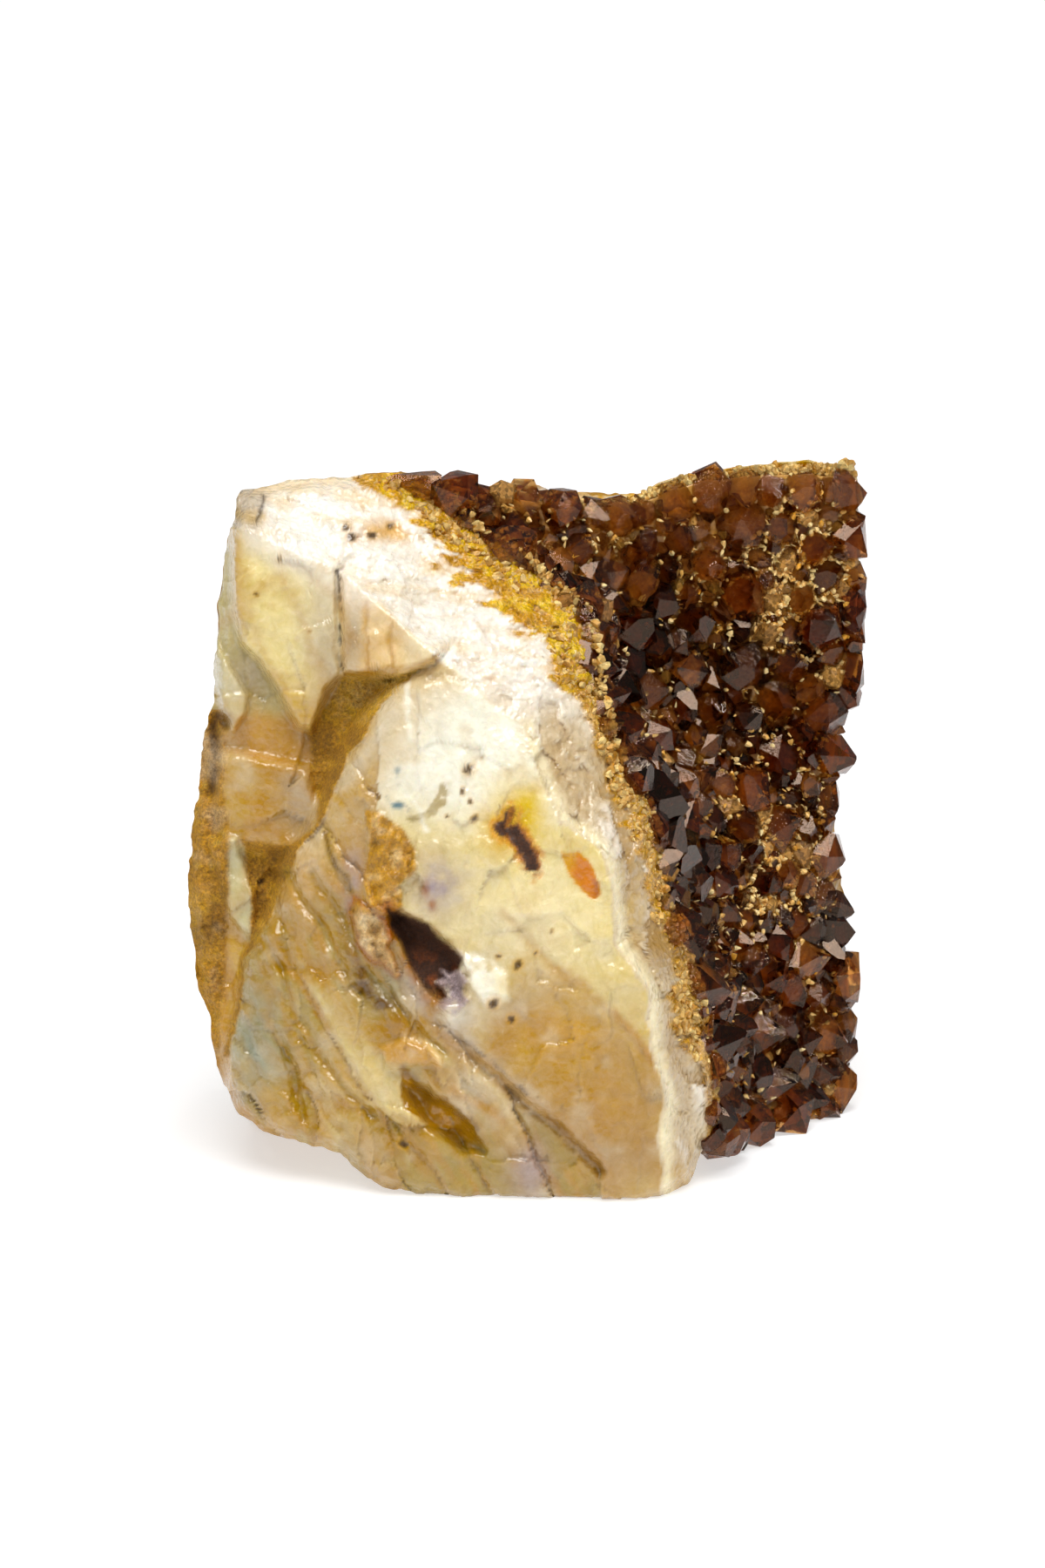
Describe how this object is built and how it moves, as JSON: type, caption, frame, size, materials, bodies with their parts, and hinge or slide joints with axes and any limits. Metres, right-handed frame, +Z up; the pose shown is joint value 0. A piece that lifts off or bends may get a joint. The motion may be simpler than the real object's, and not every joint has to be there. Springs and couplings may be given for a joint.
{
  "type": "citrine cluster",
  "caption": "Broken piece of geode wall: pale banded chalcedony whose hollow is lined with brown citrine crystals, standing on a flat base.",
  "frame": {"origin": "middle of the flat base on which the piece stands", "axes": "+Z up; the piece is seen from -Y, with the crystals on its right, towards +X"},
  "size_m": [0.0795, 0.0542, 0.0798],
  "materials": {
    "chalcedony": "waxy broken chalcedony with granular quartz, brown earth and iron stains",
    "citrine": "glassy natural crystal faces, amber to smoky brown"
  },
  "bodies": {
    "root": {"chalcedony_matrix": "chalcedony", "citrine_druse": "citrine"}
  },
  "joints": []
}
